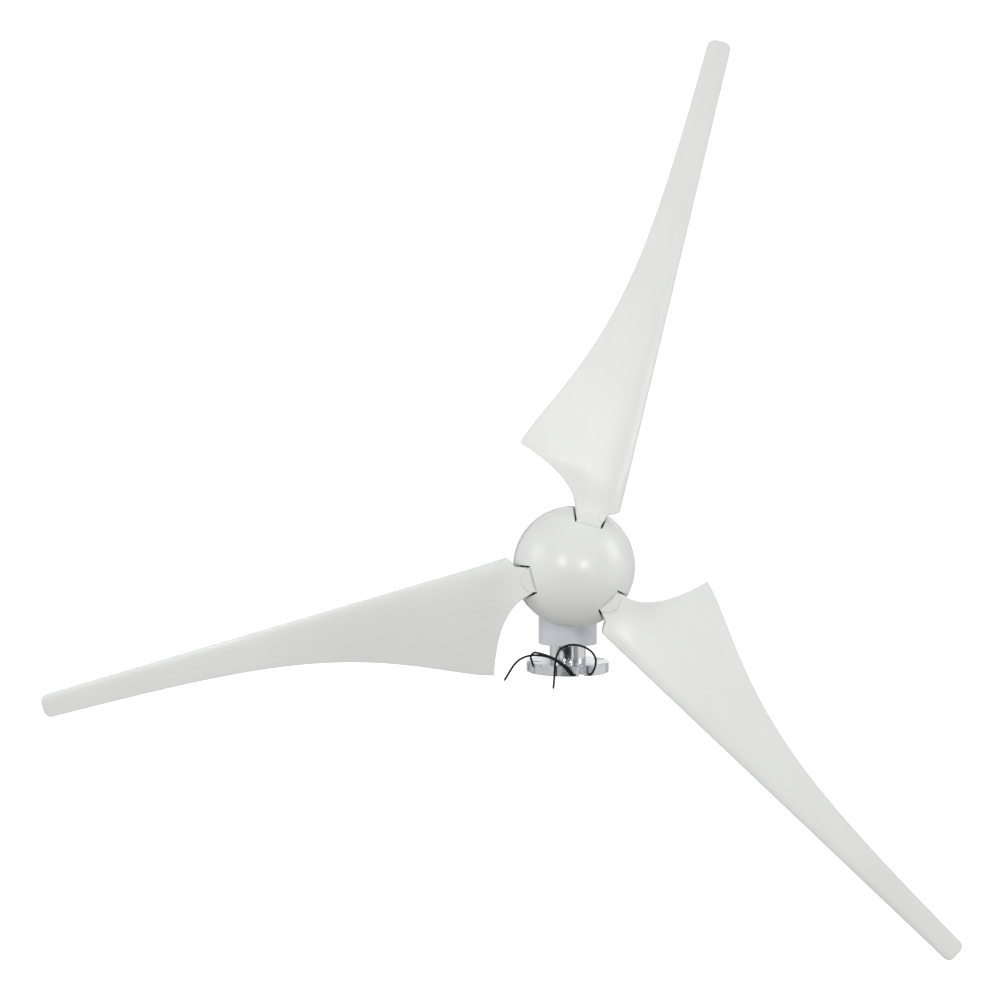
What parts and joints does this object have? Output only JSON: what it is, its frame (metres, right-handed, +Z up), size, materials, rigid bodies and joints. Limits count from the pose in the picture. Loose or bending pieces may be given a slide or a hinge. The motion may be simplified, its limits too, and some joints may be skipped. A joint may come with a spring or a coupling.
{
  "type": "small wind turbine",
  "caption": "Small horizontal-axis wind turbine: wide-rooted moulded blades, domed nose cone, generator housing with short tail, yaw bearing and slotted mast flange.",
  "frame": {"origin": "centre of the mast flange's bottom face, on the yaw axis", "axes": "+Z up along the yaw axis, nose towards -Y, rotor axis parallel to Y, +X to the right seen from the front"},
  "size_m": [1.0093, 0.548, 1.013],
  "materials": {
    "white_plastic": "moulded glass-filled nylon, off-white, satin",
    "nose_plastic": "painted plastic, off-white, satin gloss",
    "white_paint": "powder coat, cool off-white, smooth",
    "turned_aluminium": "turned, bright, fine concentric tool marks",
    "steel_screws": "zinc-plated or stainless fasteners",
    "bearing_steel": "ground bearing steel",
    "dark_steel": "oiled black steel",
    "shaft_steel": "ground steel",
    "lamination": "stacked electrical steel",
    "magnet_plating": "nickel-plated magnets",
    "copper": "enamelled copper winding",
    "ring_brass": "turned brass",
    "insulator": "brown phenolic insulator",
    "carbon": "pressed carbon",
    "black_rubber": "nitrile rubber",
    "lead_insulation": "black wire insulation",
    "phase_insulation": "red wire sleeving",
    "tinned_copper": "tinned stranded conductor"
  },
  "bodies": {
    "mast_base": {"mast_flange": "turned_aluminium", "yaw_spindle": "turned_aluminium", "spindle_screws": "steel_screws", "earth_screw": "steel_screws", "yaw_bearing_inner_rings": "bearing_steel", "yaw_spacer": "dark_steel", "yaw_tab_washer": "dark_steel", "yaw_locknut": "dark_steel", "slip_ring_sleeve": "insulator", "slip_rings": "ring_brass", "sleeve_circlip": "dark_steel", "inner_leads": "lead_insulation", "lead_grommets": "black_rubber", "lead_a": "lead_insulation", "lead_b": "lead_insulation", "lead_c": "lead_insulation", "lead_end_a": "tinned_copper", "lead_end_b": "tinned_copper", "lead_end_c": "tinned_copper"},
    "nacelle": {"nacelle_housing": "white_paint", "front_cover": "white_paint", "front_cover_screws": "steel_screws", "rear_cover": "white_paint", "rear_cover_screws": "steel_screws", "stator_core": "lamination", "stator_coils": "copper", "phase_leads": "phase_insulation", "main_bearing_outer_rings": "bearing_steel", "main_bearing_balls": "bearing_steel", "shaft_seal": "black_rubber", "yaw_bearing_outer_rings": "bearing_steel", "yaw_bearing_balls": "bearing_steel", "yaw_circlip": "dark_steel", "yaw_seal": "black_rubber", "brush_holder": "insulator", "brushes": "carbon", "brush_springs": "ring_brass", "tail_boom": "white_paint", "tail_clamp_bolts": "steel_screws", "tail_vane": "white_paint", "tail_vane_bolts": "steel_screws"},
    "rotor": {"rotor_shaft": "shaft_steel", "rotor_key": "dark_steel", "magnet_rotor_core": "lamination", "rotor_magnets": "magnet_plating", "main_bearing_inner_rings": "bearing_steel", "hub_plate": "dark_steel", "blade_1": "white_plastic", "blade_2": "white_plastic", "blade_3": "white_plastic", "blade_clamp_plate": "nose_plastic", "blade_bolts": "steel_screws", "hub_washer": "steel_screws", "hub_nut": "steel_screws", "nose_cone": "nose_plastic", "nose_cone_screws": "steel_screws"}
  },
  "joints": [
    {"name": "yaw", "type": "hinge", "parent": "mast_base", "child": "nacelle", "pos_m": [0, 0, 0], "axis": [0, 0, 1], "continuous": true},
    {"name": "rotor_spin", "type": "hinge", "parent": "nacelle", "child": "rotor", "pos_m": [0, 0, 0.13], "axis": [0, 1, 0], "continuous": true}
  ]
}
